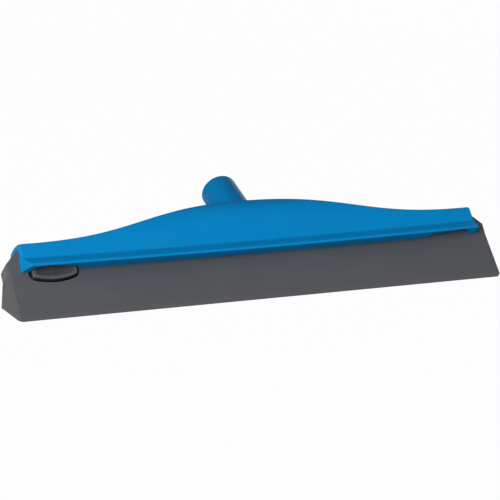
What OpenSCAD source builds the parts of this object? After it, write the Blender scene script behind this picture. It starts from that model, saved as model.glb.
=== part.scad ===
// Squeegee head with a slide-in trough cassette, standing on the rim of its trough.
// Every piece is drawn in the head's own frame (X along the blade, Y to the back, Z up the
// middle plane of the head, front blade tip at Z = 0) and then leaned back by stand().

/* [Head] */
// Width of the head across its two upright walls
head_w = 28.4; // [28:0.1:36]
// Height of the underside of the flanges above the front blade tip
flange_z = 40.6; // [36:0.1:48]
// Reach of each flange beyond its wall
flange_reach = 7.5; // [6:0.5:12]
// Height of the upright edge along each flange
flange_edge = 1.3; // [1:0.1:2.5]
// Set-back of each flange's outer edge at the ends of the head
flange_mitre = 2; // [0:0.1:4]
// Height of each upright wall above the flange underside at the ends
wall_h = 20.6; // [19:0.1:26]
// Rise of the top from the front wall back to its crown
dome_h = 4; // [3:0.1:5]
// Distance of the crown behind the middle plane
crown_y = 10; // [7:0.5:11]
// Radius of the edge along the top of the front wall
edge_r = 1.2; // [0.6:0.1:2]
// Depth of the rounding along the back of the top
back_round = 4.2; // [3:0.1:8]
// Radius of the top corners at the ends of the head
end_r = 1.5; // [1:0.5:5]
// Extra height of the crest in the middle, to which its roll adds a little
crest_h = 21.6; // [14:0.1:30]
// Distance of the crest's foot from the end of the head
crest_foot = 11; // [8:1:40]
// Share of the front wall's height that rolls back
roll_part = 0.5; // [0.35:0.05:0.6]
// Angle that it has rolled through at its top in the middle
roll_mid = 38; // [20:1:45]
// The same angle at the ends
roll_end = 6; // [4:1:12]
// Wall left round the hollow under the crest
crest_wall = 5; // [4:0.5:7]
// Material left over the cassette slot at the ends
slot_roof = 4.6; // [3.8:0.1:5]

/* [Handle socket] */
// Outside diameter of the socket
socket_d = 29; // [28:0.5:31]
// Diameter of the bore that takes the handle
socket_bore_d = 21.6; // [18:0.1:22.4]
// Depth of the bore
socket_depth = 36; // [30:0.5:38]
// Lean of the socket from the middle plane of the head
socket_lean = 32.4; // [29:0.1:35]
// Height at which the socket axis crosses the middle plane
socket_z = 60; // [56:0.1:63]
// Distance along the axis from the middle plane to the rim
socket_out = 65; // [61:0.5:76]
// Diameter of the drain between the bore and the hollow crest
drain_d = 9; // [5:0.5:12]

/* [Latch pocket] */
// Distance of each pocket's middle from the end of the head
pocket_in = 24; // [24:0.5:60]
// Width of a pocket beside the cassette
pocket_w = 42; // [41.5:0.5:44]
// Width of a pocket at its front
pocket_front_w = 27; // [26:0.5:30]
// Depth of a pocket towards the front
pocket_d = 9.5; // [7:0.5:10.5]
// Height of a pocket above the flange underside
pocket_h = 4.6; // [4.4:0.1:5]
// Corner radius of a pocket
pocket_r = 4; // [2:0.5:5]

/* [Cassette] */
// Length of the front blade at its tip
blade_len = 400; // [300:1:520]
// Thickness of the carrier that slides in the head
carrier_w = 14; // [13.6:0.1:15]
// Wall of the carrier
carrier_wall = 3.2; // [2.6:0.1:3.4]
// Length that the carrier stands out of each end of the head
carrier_out = 11; // [6:0.5:12]
// Height of the slope over each end of the carrier
end_slope = 11.5; // [8:0.5:16]
// Running clearance between cassette and head
slide_gap = 0.3; // [0.2:0.05:0.5]
// Height of the guide rib on each side of the carrier
rib_h = 2.8; // [2:0.1:4]
// Reach of the guide rib
rib_out = 2; // [1:0.1:2.5]
// Thickness of the blade and the rear wall
blade_t = 3; // [2:0.1:3.5]
// How far the front blade's face stands forward of the carrier near its tip
blade_splay = 4.2; // [2:0.1:7]
// Height of the bevelled band along the blade tip
tip_band = 4.6; // [3:0.1:7]
// Set-back of the tip behind the band's upper edge
tip_back = 0.7; // [0.3:0.1:1.2]
// Thickness of the blade tip and the rear tip where they stand
tip_t = 1.8; // [1:0.1:2.4]
// Cut at the bottom corners of the front blade
tip_corner = 2.5; // [1:0.5:6]
// Height of the rear wall's tip above the front blade tip
rear_tip_z = 27.3; // [22:0.1:30]
// Distance of the rear wall's tip behind the middle plane
rear_tip_y = 26; // [21:0.5:30]
// Distance of the rear wall's root behind the middle plane
rear_root_y = 11.5; // [8:0.5:14]
// Distance of the stop's back, at the left end of the carrier, behind the middle plane
stop_y = 10.5; // [9:0.5:13]
// Thickness of the end walls
end_t = 3; // [2:0.1:4]
// Height of the end walls above the standing plane
end_lift = 0.6; // [0.4:0.1:3]
// Length of each drain slot in the carrier's roof
drain_len = 30; // [15:1:40]
// Width of each drain slot
drain_w = 4; // [2:0.1:5]
// Spacing of the drain slots
drain_pitch = 50; // [45:1:60]

/* [Lock button] */
// Width of the button
button_w = 35.5; // [30:0.5:36]
// Height of the button
button_h = 14; // [11:0.5:14]
// Sag of the button's curved lower edge
button_sag = 4; // [2:0.5:6]
// Height of the button's middle above the front blade tip
button_z = 37; // [36:0.1:37]
// How far the button stands out of the carrier's face
button_proud = 3.4; // [2:0.1:4]
// Travel of the button
button_travel = 3.7; // [2.4:0.1:4.4]
// Open gap round the button
button_gap = 1; // [0.6:0.1:1.4]
// Reach of the flange that keeps the button in
button_lip = 1.8; // [1.6:0.1:2.4]
// Thickness of that flange
lip_t = 1.2; // [0.8:0.1:1.6]
// Depth of the dished thumb face
dish = 1; // [0.4:0.1:1.6]
// Wall of the button's housing
housing_wall = 1.8; // [1.6:0.1:2.6]
// Thickness of the leaf spring
spring_t = 0.6; // [0.4:0.05:0.8]
// Length of the leaf spring
spring_len = 28; // [20:0.5:32]
// Width of the leaf spring
spring_w = 7; // [4:0.5:9]
// Seating clearance of the leaf spring
seat_gap = 0.05; // [0.02:0.01:0.1]

/* [Hidden] */
$fn = 64;

blue = [0, 0.45, 0.72];
grey = [0.33, 0.34, 0.36];
end_grey = [0.36, 0.37, 0.37];
dark = [0.17, 0.18, 0.19];
steel = [0.7, 0.71, 0.72];
overcut = 1;

// Lengths that follow the blade
carrier_half = blade_len / 2;
head_len = blade_len - 2 * carrier_out;
crest_half = head_len / 2 - crest_foot;
pocket_x = head_len / 2 - pocket_in;

// Head heights
wall_y = head_w / 2;
ridge_y = wall_y + flange_reach;
crease_z = flange_z + flange_edge + flange_reach;
shoulder_z = flange_z + wall_h;
top_z = shoulder_z + dome_h;
slot_top = top_z - slot_roof;

// Cassette section
carrier_y = carrier_w / 2;
slot_y = carrier_y + slide_gap;
carrier_top = slot_top - slide_gap;
carrier_bottom = flange_z - slide_gap;
rib_z = (crease_z + shoulder_z - rib_h) / 2 - slide_gap * 4;
core_y = carrier_y - carrier_wall;
stop_len = carrier_out - slide_gap;
band = [-carrier_y - blade_splay, tip_band];
tip = [band[0] + tip_back, 0];
rear_tip = [rear_tip_y, rear_tip_z];
lean = atan2(rear_tip[1] - tip[1], rear_tip[0] - tip[0]);
floor_dir = [cos(lean), sin(lean)];
tip_heel = tip + tip_t * floor_dir;
rear_toe = rear_tip - tip_t * floor_dir;
blade_inner = [[-carrier_y + blade_t, carrier_bottom], [band[0] + blade_t, tip_band]];
rear_inner = [[carrier_y - blade_t, carrier_bottom], [carrier_y - blade_t, carrier_bottom - blade_t]];

// Button places along Y, front to back
function blade_face(z) = -carrier_y - blade_splay * (carrier_bottom - z) / (carrier_bottom - tip_band);
button_face = -carrier_y - button_proud;
lip_front = -carrier_y + carrier_wall + slide_gap;
lip_back = lip_front + lip_t;
pocket_floor = lip_back + button_travel + spring_t + 2 * seat_gap;
housing_back = pocket_floor + housing_wall;
housing_half = button_w / 2 + button_lip + slide_gap + housing_wall;
housing_low = button_z - button_h / 2 - button_lip - slide_gap - housing_wall;

// Socket axis
socket_dir = [0, sin(socket_lean), cos(socket_lean)];
rim = [0, 0, socket_z] + socket_out * socket_dir;

// Standing: the front tip comes to the floor, the overall box is centred over the origin
rim_from_tip = [rim[1] - tip[0], rim[2] - tip[1]];
rim_back = rim_from_tip[0] * cos(lean) + rim_from_tip[1] * sin(lean)
  + socket_d / 2 * cos(socket_lean + lean);

module stand() {
  translate([0, -rim_back / 2, 0])
    rotate([-lean, 0, 0])
      translate([0, -tip[0], -tip[1]])
        children();
}

// Extrudes a Y-Z outline along X
module along_x(length) {
  rotate([90, 0, 90]) linear_extrude(length, center = true) children();
}

// Extrudes an X-Z outline from y0 back to y1
module along_y(y0, y1) {
  translate([0, y1, 0]) rotate([90, 0, 0]) linear_extrude(y1 - y0) children();
}

// Corner arc of radius r between two directions, for a closed outline of points
function unit(v) = v / norm(v);
function corner(a, b, c, r, steps) =
  let (
    u = unit(a - b),
    w = unit(c - b),
    half = acos(u * w) / 2,
    reach = r / tan(half),
    centre = b + unit(u + w) * (r / sin(half)),
    p = b + u * reach - centre,
    q = b + w * reach - centre,
    turn = atan2(p[0] * q[1] - p[1] * q[0], p * q)
  )
  [for (i = [0 : steps])
    let (t = turn * i / steps)
    centre + [p[0] * cos(t) - p[1] * sin(t), p[0] * sin(t) + p[1] * cos(t)]];

// Crest height above the end height, a bell curve over the middle of the head
CREST_FLATTEN = 0.4;
function wave(x) = abs(x) >= crest_half ? 0 : (1 + cos(180 * x / crest_half)) / 2;
function bell(x) = let (b = wave(x)) b + CREST_FLATTEN * b * (1 - b) * (2 * b - 1);
function rise(x) = crest_h * bell(x);
// The upper part of the front rolls back, most of all in the middle, and the crest gains height by it
ROLL_GAIN = 0.43;
ROLL_STEPS = 7;
function roll_foot(x) = crease_z + (1 - roll_part) * (shoulder_z + rise(x) - crease_z);
function roll_slope(x) = tan(roll_end + (roll_mid - roll_end) * pow(bell(x), 2));
function roll_depth(x) = (shoulder_z + rise(x) - roll_foot(x)) * roll_slope(x) / 2;
function gain(x) = ROLL_GAIN * roll_depth(x);
function lift(x) = rise(x) + gain(x) - end_drop(head_len / 2 - abs(x));
// Fall of the top over the rounded corner, at a distance in from the end
function end_drop(d) = d >= end_r ? 0 : end_r - sqrt(pow(end_r, 2) - pow(end_r - d, 2));

// Section of the head above the crease at x: front that rolls back, top rising to its crown, rounded back
EDGE_STEPS = 5;
CAP_STEPS = 10;
function roll_point(x, t) =
  let (foot = roll_foot(x))
  [-wall_y + roll_depth(x) * pow(t, 2), foot + (shoulder_z + lift(x) - foot) * t];
function cap_front(x) = concat(
  [for (i = [0 : ROLL_STEPS - 2]) roll_point(x, i / ROLL_STEPS)],
  corner(
    roll_point(x, 1 - 2 / ROLL_STEPS), roll_point(x, 1), [crown_y, top_z + lift(x)], edge_r, EDGE_STEPS));
function cap_back(x) = [for (i = [0 : CAP_STEPS])
  let (t = 90 * i / CAP_STEPS, low = top_z - back_round + rise(x) + gain(x))
  [crown_y + (wall_y - crown_y) * sin(t), low + (top_z + lift(x) - low) * cos(t)]];
function head_section(x) =
  concat([[-wall_y, crease_z]], cap_front(x), cap_back(x), [[wall_y, crease_z]]);

STATIONS = 56;
END_STEPS = 5;
corner_x = [for (i = [0 : END_STEPS - 1]) head_len / 2 - end_r * (1 - cos(90 * i / END_STEPS))];
inner_x = [for (i = [0 : STATIONS]) (head_len - 2 * end_r) * (i / STATIONS - 0.5)];
station_x = concat(
  [for (x = corner_x) -x],
  inner_x,
  [for (i = [END_STEPS - 1 : -1 : 0]) corner_x[i]]
);

// Skin through the sections at all stations
module crest_body() {
  rings = [for (x = station_x) [for (p = head_section(x)) [x, p[0], p[1]]]];
  count = len(rings[0]);
  spans = len(rings) - 1;
  points = [for (ring = rings) each ring];
  sides = [for (s = [0 : spans - 1], k = [0 : count - 1])
    let (
      a = s * count + k,
      b = s * count + (k + 1) % count
    )
    each [[a, b, b + count], [a, b + count, a + count]]];
  first = [for (k = [count - 1 : -1 : 0]) k];
  last = [for (k = [0 : count - 1]) spans * count + k];
  polyhedron(points, concat(sides, [first, last]), convexity = 4);
}

// Flange band with its sloping top, from crease to crease, mitred at the ends
module flange_body() {
  wall_end = head_len / 2;
  ridge_end = wall_end - flange_mitre;
  intersection() {
    along_x(head_len)
      polygon([
        [-wall_y, crease_z], [-ridge_y, flange_z + flange_edge], [-ridge_y, flange_z],
        [ridge_y, flange_z], [ridge_y, flange_z + flange_edge], [wall_y, crease_z]
      ]);
    translate([0, 0, flange_z])
      linear_extrude(crease_z - flange_z)
        polygon([
          [-wall_end, -wall_y], [-ridge_end, -ridge_y], [ridge_end, -ridge_y], [wall_end, -wall_y],
          [wall_end, wall_y], [ridge_end, ridge_y], [-ridge_end, ridge_y], [-wall_end, wall_y]
        ]);
  }
}

module socket_cylinder(d, from, to) {
  translate([0, 0, socket_z])
    rotate([-socket_lean, 0, 0])
      translate([0, 0, from])
        cylinder(h = to - from, d = d);
}

// Socket stub, cut flush with the front wall
module socket_body() {
  intersection() {
    socket_cylinder(socket_d, 0, socket_out);
    translate([-socket_d, -wall_y, slot_top])
      cube([2 * socket_d, 4 * socket_d, 4 * socket_d]);
  }
}

// Straight slot for the carrier, with a groove on each side for its ribs
module slot_cut() {
  groove_y = slot_y + rib_out;
  along_x(head_len + 2 * overcut) {
    translate([-slot_y, flange_z - overcut]) square([2 * slot_y, slot_top - flange_z + overcut]);
    translate([-groove_y, rib_z - slide_gap]) square([2 * groove_y, rib_h + 2 * slide_gap]);
  }
}

// Hollow under the crest, which leads water from the slot to the socket
HOLLOW_STEPS = 24;
module hollow_cut() {
  reach = crest_half * 0.6;
  outline = [for (i = [0 : HOLLOW_STEPS])
    let (x = reach * (2 * i / HOLLOW_STEPS - 1))
    [x, shoulder_z + rise(x) - crest_wall - roll_depth(x)]];
  along_y(-wall_y + crest_wall, wall_y - crest_wall)
    polygon(concat(outline, [[reach, slot_top - overcut], [-reach, slot_top - overcut]]));
}

// Pocket in a flange's underside that the button stands in
module pocket_cut(x) {
  back = -slot_y + overcut;
  front = -slot_y - pocket_d;
  foot = [[pocket_w / 2, back], [pocket_w / 2, -slot_y]];
  a = [pocket_w / 2, -slot_y];
  b = [pocket_front_w / 2, front];
  arc = corner(a, b, [-b[0], front], pocket_r, 6);
  half = concat(foot, arc);
  mirrored = [for (i = [len(half) - 1 : -1 : 0]) [-half[i][0], half[i][1]]];
  translate([x, 0, flange_z - overcut])
    linear_extrude(pocket_h + overcut)
      polygon(concat(half, mirrored));
}

// Head moulding: body, flanges and socket in one piece
module frame() {
  color(blue)
    stand()
      difference() {
        union() {
          crest_body();
          flange_body();
          socket_body();
        }
        slot_cut();
        hollow_cut();
        socket_cylinder(socket_bore_d, socket_out - socket_depth, socket_out + overcut);
        socket_cylinder(drain_d, socket_d / 4, socket_out);
        for (side = [-1, 1]) pocket_cut(side * pocket_x);
      }
}

// Button outline in X and Z, grown by a margin
module button_outline(margin) {
  w = button_w + 2 * margin;
  h = button_h + 2 * margin;
  bow = (pow(button_w / 2, 2) + pow(button_sag, 2)) / (2 * button_sag);
  translate([-pocket_x, button_z])
    intersection() {
      square([w, h], center = true);
      translate([0, bow - button_h / 2]) circle(r = bow + margin, $fn = 96);
    }
}

// Space behind the face that the button slides in
module button_space() {
  along_y(-carrier_y - blade_splay - overcut, lip_front) button_outline(button_gap);
  along_y(lip_front - slide_gap, pocket_floor) button_outline(button_lip + slide_gap);
}

// Box that closes the button's space off from the trough
module button_housing() {
  translate([-pocket_x, 0, 0])
    along_x(2 * housing_half)
      polygon([
        blade_inner[0],
        [blade_face(housing_low) + blade_t, housing_low],
        [housing_back, housing_low],
        [housing_back, carrier_bottom]
      ]);
}

// Rigid rail that slides in the head, open below so that water can run up through it
module carrier() {
  color(grey)
    stand()
      difference() {
        union() {
          difference() {
            union() {
              along_y(-carrier_y, carrier_y)
                polygon([
                  [-carrier_half, carrier_bottom], [-carrier_half, carrier_top - end_slope],
                  [-carrier_half + carrier_out, carrier_top], [carrier_half - carrier_out, carrier_top],
                  [carrier_half, carrier_top - end_slope], [carrier_half, carrier_bottom]
                ]);
              along_y(0, stop_y)
                polygon([
                  [-carrier_half, carrier_bottom], [-carrier_half, carrier_top - end_slope],
                  [-carrier_half + stop_len, carrier_top - end_slope * (1 - stop_len / carrier_out)],
                  [-carrier_half + stop_len, carrier_bottom]
                ]);
              along_x(head_len - 2 * slide_gap)
                translate([-carrier_y - rib_out, rib_z]) square([carrier_w + 2 * rib_out, rib_h]);
            }
            along_x(head_len)
              translate([-core_y, carrier_bottom - overcut])
                square([2 * core_y, carrier_top - carrier_bottom - carrier_wall + overcut]);
            for (i = [-1 : 1])
              translate([i * drain_pitch - drain_len / 2, -drain_w / 2, carrier_bottom])
                cube([drain_len, drain_w, carrier_top]);
          }
          translate([-pocket_x - housing_half, -core_y, carrier_bottom])
            cube([2 * housing_half, 2 * core_y, carrier_top - carrier_bottom - carrier_wall]);
          button_housing();
        }
        button_space();
      }
}

// Long scraping blade with a bevelled tip
module front_blade() {
  tip_half = blade_len / 2;
  color(grey)
    stand()
      difference() {
        intersection() {
          along_x(blade_len)
            polygon([
              [-carrier_y, carrier_bottom], band, tip, tip_heel, blade_inner[1], blade_inner[0]
            ]);
          along_y(band[0] - overcut, carrier_y)
            polygon([
              [-tip_half + tip_corner, 0], [-tip_half, tip_corner],
              [-tip_half, carrier_bottom], [tip_half, carrier_bottom],
              [tip_half, tip_corner], [tip_half - tip_corner, 0]
            ]);
        }
        button_space();
      }
}

// Short splayed wall that catches the water at the back
module rear_wall() {
  color(grey)
    stand()
      difference() {
        along_x(blade_len)
          polygon([
            [rear_root_y, carrier_bottom], rear_tip, rear_toe,
            rear_inner[1], rear_inner[0]
          ]);
        button_housing();
      }
}

// Plate that closes one end of the trough
module end_wall(side) {
  front_foot = tip_heel + end_lift * unit(blade_inner[1] - tip_heel);
  rear_foot = rear_toe + end_lift * unit(rear_inner[1] - rear_toe);
  color(end_grey)
    stand()
      translate([side * (carrier_half - end_t / 2), 0, 0])
        along_x(end_t)
          polygon([
            blade_inner[0], blade_inner[1], front_foot, rear_foot, rear_inner[1], rear_inner[0]
          ]);
}

module left_end_wall() {
  end_wall(-1);
}

module right_end_wall() {
  end_wall(1);
}

// Push button with a dished face and a flange that keeps it in its housing
module lock_button() {
  dish_r = (pow(button_w / 2, 2) + pow(dish, 2)) / (2 * dish);
  color(dark)
    stand()
      difference() {
        union() {
          along_y(button_face, lip_back) button_outline(0);
          along_y(lip_front, lip_back) button_outline(button_lip);
        }
        translate([-pocket_x, button_face + dish - dish_r, button_z])
          sphere(r = dish_r, $fn = 360);
      }
}

// Bowed leaf that pushes the button out again
module return_spring() {
  rise = pocket_floor - lip_back - 2 * seat_gap;
  bow = (pow(spring_len / 2, 2) + pow(rise - spring_t, 2)) / (2 * (rise - spring_t));
  crown = lip_back + seat_gap;
  color(steel)
    stand()
      translate([-pocket_x, 0, button_z - spring_w / 2])
        intersection() {
          difference() {
            translate([0, crown + bow, 0]) cylinder(h = spring_w, r = bow, $fn = 128);
            translate([0, crown + bow, -overcut])
              cylinder(h = spring_w + 2 * overcut, r = bow - spring_t, $fn = 128);
          }
          translate([-spring_len / 2, crown - overcut, 0])
            cube([spring_len, rise + overcut, spring_w]);
        }
}

frame();
carrier();
front_blade();
rear_wall();
left_end_wall();
right_end_wall();
lock_button();
return_spring();
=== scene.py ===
"""Looks of a squeegee head with a slide-in trough cassette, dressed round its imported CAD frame.

Every new piece is modelled in the head's own frame, in millimetres: X along the blade, Y to the back,
Z up the middle plane of the head, with the front blade's tip at Z = 0. The stand then leans it back
into the part's frame in metres.
"""

import logging
import math
from collections.abc import Callable, Iterable, Sequence
from dataclasses import dataclass, field
from enum import Enum

import bmesh
import bpy
from bmesh.types import BMEdge, BMesh, BMFace, BMVert
from mathutils import Matrix, Vector


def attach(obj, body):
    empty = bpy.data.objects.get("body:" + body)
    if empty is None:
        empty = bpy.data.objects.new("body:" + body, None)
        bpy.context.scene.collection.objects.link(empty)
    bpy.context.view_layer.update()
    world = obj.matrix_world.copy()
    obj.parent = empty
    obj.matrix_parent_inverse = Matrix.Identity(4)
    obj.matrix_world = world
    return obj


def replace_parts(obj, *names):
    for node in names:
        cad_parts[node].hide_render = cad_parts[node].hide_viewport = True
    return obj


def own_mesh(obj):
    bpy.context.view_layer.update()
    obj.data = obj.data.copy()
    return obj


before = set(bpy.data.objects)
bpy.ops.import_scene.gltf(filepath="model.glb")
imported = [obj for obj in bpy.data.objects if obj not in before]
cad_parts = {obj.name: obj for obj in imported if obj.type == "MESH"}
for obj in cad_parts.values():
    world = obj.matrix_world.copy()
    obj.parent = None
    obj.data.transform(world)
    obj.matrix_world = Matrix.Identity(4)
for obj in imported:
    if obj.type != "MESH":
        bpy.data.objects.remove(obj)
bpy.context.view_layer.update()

LOG = logging.getLogger("squeegee_head")
MM = 0.001
BLACK = (0.0, 0.0, 0.0)
WELD = 0.0005
CUT_WELD = 0.002
ON_PLANE = 0.001
NEAR = 0.01
SLACK = 0.1
Point2 = tuple[float, float]
Triple = tuple[float, float, float]
Colour = Triple
EdgeTest = Callable[[BMEdge], bool]


def mirrored(half: Sequence[Point2]) -> list[Point2]:
    """Returns half an outline and its mirror image, with the sign of each first coordinate turned round."""
    return [*half, *((-first, second) for first, second in reversed(half))]


def held(share: float) -> float:
    """Returns a number held between 0 and 1."""
    return min(max(share, 0.0), 1.0)


def link(thing: bpy.types.Object) -> None:
    """Puts an object in the scene."""
    bpy.context.scene.collection.objects.link(thing)


class Body(Enum):
    """Moving bodies of the part."""

    HEAD = "head"
    CASSETTE = "cassette"
    BUTTON = "button"


class Slot(Enum):
    """Material slots of the record."""

    HEAD = "head_blue"
    CARRIER = "carrier_grey"
    BLADE = "blade_grey"
    END = "end_grey"
    BUTTON = "button_dark"
    SPRING = "spring_steel"


class Cut(Enum):
    """What a tool solid does to a piece."""

    JOIN = "UNION"
    REMOVE = "DIFFERENCE"


class Value:
    """A socket of a shader tree whose arithmetic adds Math nodes."""

    def __init__(self, tree: "ShaderTree", socket: bpy.types.NodeSocket) -> None:
        """Keeps the tree and the socket."""
        self.tree = tree
        self.socket = socket

    def _math(self, operation: str, first: object, second: object) -> "Value":
        """Adds one Math node.

        Args:
            operation: The node's operation.
            first: A value or a number.
            second: A value or a number.

        Returns:
            The node's result.
        """
        made = self.tree.node("ShaderNodeMath", {"operation": operation}, {0: first, 1: second})
        return self.tree.out(made, 0)

    def __add__(self, other: object) -> "Value":
        """Sum."""
        return self._math("ADD", self, other)

    def __sub__(self, other: object) -> "Value":
        """Difference."""
        return self._math("SUBTRACT", self, other)

    def __rsub__(self, other: object) -> "Value":
        """Difference from a number on the left."""
        return self._math("SUBTRACT", other, self)

    def __mul__(self, other: object) -> "Value":
        """Product."""
        return self._math("MULTIPLY", self, other)

    def least(self, other: object) -> "Value":
        """Returns the smaller of two."""
        return self._math("MINIMUM", self, other)

    def most(self, other: object) -> "Value":
        """Returns the larger of two."""
        return self._math("MAXIMUM", self, other)

    def size(self) -> "Value":
        """Returns the value without its sign."""
        return self._math("ABSOLUTE", self, 0.0)

    __radd__ = __add__
    __rmul__ = __mul__


class ShaderTree:
    """Node tree of one material."""

    def __init__(self, name: str) -> None:
        """Makes a material with an empty node tree."""
        self.material = bpy.data.materials.new(name)
        self.material.use_nodes = True
        self.tree = self.material.node_tree
        self.tree.nodes.clear()

    def node(self, kind: str, settings: dict[str, object], sockets: dict[object, object]) -> bpy.types.Node:
        """Adds any node.

        Args:
            kind: The node's type.
            settings: Properties, set first; "stops" gives a ramp's positions and colours.
            sockets: Values, colours or links by socket name or number.

        Returns:
            The new node.
        """
        made = self.tree.nodes.new(kind)
        for key, value in settings.items():
            if key == "stops":
                self._set_stops(made, value)
            else:
                setattr(made, key, value)
        for key, value in sockets.items():
            if isinstance(value, Value):
                self.tree.links.new(value.socket, made.inputs[key])
            else:
                made.inputs[key].default_value = value
        return made

    def _set_stops(self, ramp: bpy.types.Node, stops: Sequence[tuple[float, Sequence[float]]]) -> None:
        """Sets the stops of a colour ramp."""
        elements = ramp.color_ramp.elements
        while len(elements) < len(stops):
            elements.new(0.5)
        for element, (place, colour) in zip(elements, stops):
            element.position = place
            element.color = (*colour, 1.0)

    def out(self, node: bpy.types.Node, key: object) -> Value:
        """Returns one output of a node as a value."""
        return Value(self, node.outputs[key])

    def place(self) -> Value:
        """Returns the Object coordinates."""
        return self.out(self.node("ShaderNodeTexCoord", {}, {}), "Object")

    def stretched(self, scale: Sequence[float]) -> Value:
        """Returns the Object coordinates scaled by axis."""
        made = self.node("ShaderNodeMapping", {}, {"Vector": self.place(), "Scale": tuple(scale)})
        return self.out(made, "Vector")

    def noise(self, vector: Value, scale: float, detail: float) -> Value:
        """Returns a noise pattern.

        Args:
            vector: Where it is read.
            scale: Its scale per metre.
            detail: Its octaves.

        Returns:
            The noise, from 0 to 1.
        """
        made = self.node("ShaderNodeTexNoise", {}, {"Vector": vector, "Scale": scale, "Detail": detail})
        return self.out(made, "Fac")

    def ramp(self, factor: Value, stops: Sequence[tuple[float, Colour]]) -> Value:
        """Returns a colour ramp over a factor."""
        made = self.node("ShaderNodeValToRGB", {"stops": stops}, {"Fac": factor})
        return self.out(made, "Color")

    def blend(self, factor: object, first: object, second: object) -> Value:
        """Mixes two colours.

        Args:
            factor: How much of the second one.
            first: Colour or value.
            second: Colour or value.

        Returns:
            The mixed colour.
        """
        ends = [end if isinstance(end, Value) else (*end, 1.0) for end in (first, second)]
        made = self.node("ShaderNodeMix", {"data_type": "RGBA"}, {0: factor, 6: ends[0], 7: ends[1]})
        return self.out(made, 2)

    def span(self, value: Value, ends: Point2, top: float = 1.0) -> Value:
        """Spreads a value evenly between two ends and holds it beyond them.

        Args:
            value: What is spread.
            ends: The values that become 0 and the top.
            top: The largest result.

        Returns:
            The result, from 0 to the top.
        """
        made = self.node("ShaderNodeMapRange", {"clamp": True}, {
            "Value": value, "From Min": ends[0], "From Max": ends[1], "To Max": top})
        return self.out(made, "Result")

    def along(self, here: Value) -> Value:
        """Returns the X of a place, in metres."""
        return self.out(self.node("ShaderNodeSeparateXYZ", {}, {"Vector": here}), "X")

    def height(self, here: Value) -> Value:
        """Returns how far a place lies along the head's own up direction, in metres."""
        up = {0: here, 1: STAND.direction((0, 0, 1))}
        return self.out(self.node("ShaderNodeVectorMath", {"operation": "DOT_PRODUCT"}, up), "Value")

    def rising(self, here: Value, levels: Point2, top: float = 1.0) -> Value:
        """Returns 0 below the head's first level, rising to a top at its second."""
        low, high = (STAND.height(z) for z in levels)
        return self.span(self.height(here), (low, high), top)

    def bump(self, height: Value, depth: float) -> Value:
        """Returns the normal of a height pattern that is depth metres deep."""
        made = self.node("ShaderNodeBump", {}, {"Height": height, "Distance": depth, "Strength": 1.0})
        return self.out(made, "Normal")

    def principled(self, sockets: dict[object, object]) -> bpy.types.Material:
        """Returns the material with a Principled shader on its surface."""
        return self.surface(self.out(self.node("ShaderNodeBsdfPrincipled", {}, sockets), "BSDF"))

    def surface(self, shader: Value) -> bpy.types.Material:
        """Links a shader to the output and returns the material."""
        self.node("ShaderNodeOutputMaterial", {}, {"Surface": shader})
        return self.material


@dataclass(frozen=True)
class Stand:
    """How the head's own frame is leaned onto the trough's rim."""

    lean: float = 36.7945
    tip_y: float = -10.5
    half_depth: float = 55.1284

    def matrix(self) -> Matrix:
        """Returns the matrix from head millimetres to the part's metres."""
        shift = Matrix.Translation((0.0, -self.half_depth * MM, 0.0))
        turn = Matrix.Rotation(math.radians(-self.lean), 4, "X")
        foot = Matrix.Translation((0.0, -self.tip_y * MM, 0.0))
        return shift @ turn @ foot @ Matrix.Scale(MM, 4)

    def point(self, place: Sequence[float]) -> Vector:
        """Returns a head point in the part's frame."""
        return self.matrix() @ Vector(place)

    def direction(self, way: Sequence[float]) -> Vector:
        """Returns a head direction in the part's frame."""
        return (self.matrix().to_3x3() @ Vector(way)).normalized()

    def height(self, z: float) -> float:
        """Returns how far the head's level z lies along its own up direction, from the part's origin."""
        return self.point((0, 0, z)).dot(self.direction((0, 0, 1)))


STAND = Stand()


@dataclass(frozen=True)
class MouldedFinish:
    """Satin injection-moulded plastic: fine eroded grain, faint flow marks, and painted shade that can
    darken the top.
    """

    name: str
    colour: Colour
    shade: Colour
    roughness: float = 0.42
    roughness_swing: float = 0.10
    grain_swing: float = 0.05
    cloud_scale: float = 22.0
    cloud_share: float = 0.6
    flow_scale: Triple = (9.0, 70.0, 70.0)
    flow_relief: float = 0.4
    grain_scale: float = 1500.0
    grain_depth: float = 0.00003
    tone_ends: Point2 = (0.25, 0.72)
    specular: float = 0.4
    # Painted shade: how much black is mixed into the top; the next line gives the head levels where it
    # starts and where it is full.
    top_shade_share: float = 0.0
    top_shade_z: Point2 = (76.0, 88.0)

    def material(self) -> bpy.types.Material:
        """Returns the node material."""
        tree = ShaderTree(self.name)
        here = tree.place()
        cloud = tree.noise(here, self.cloud_scale, 3.0)
        flow = tree.noise(tree.stretched(self.flow_scale), 1.0, 4.0)
        grain = tree.noise(here, self.grain_scale, 2.0)
        tone = cloud * self.cloud_share + flow * (1 - self.cloud_share)
        colour = tree.ramp(tone, list(zip(self.tone_ends, (self.shade, self.colour))))
        # Painted shade: darkens the crest's top and the socket towards black.
        if self.top_shade_share > 0:
            colour = tree.blend(tree.rising(here, self.top_shade_z, self.top_shade_share), colour, BLACK)
        swing = (tone - 0.5) * self.roughness_swing + (grain - 0.5) * self.grain_swing
        return tree.principled({
            "Base Color": colour,
            "Roughness": self.roughness + swing,
            "Specular IOR Level": self.specular,
            "Normal": tree.bump(grain + flow * self.flow_relief, self.grain_depth),
        })


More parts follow.
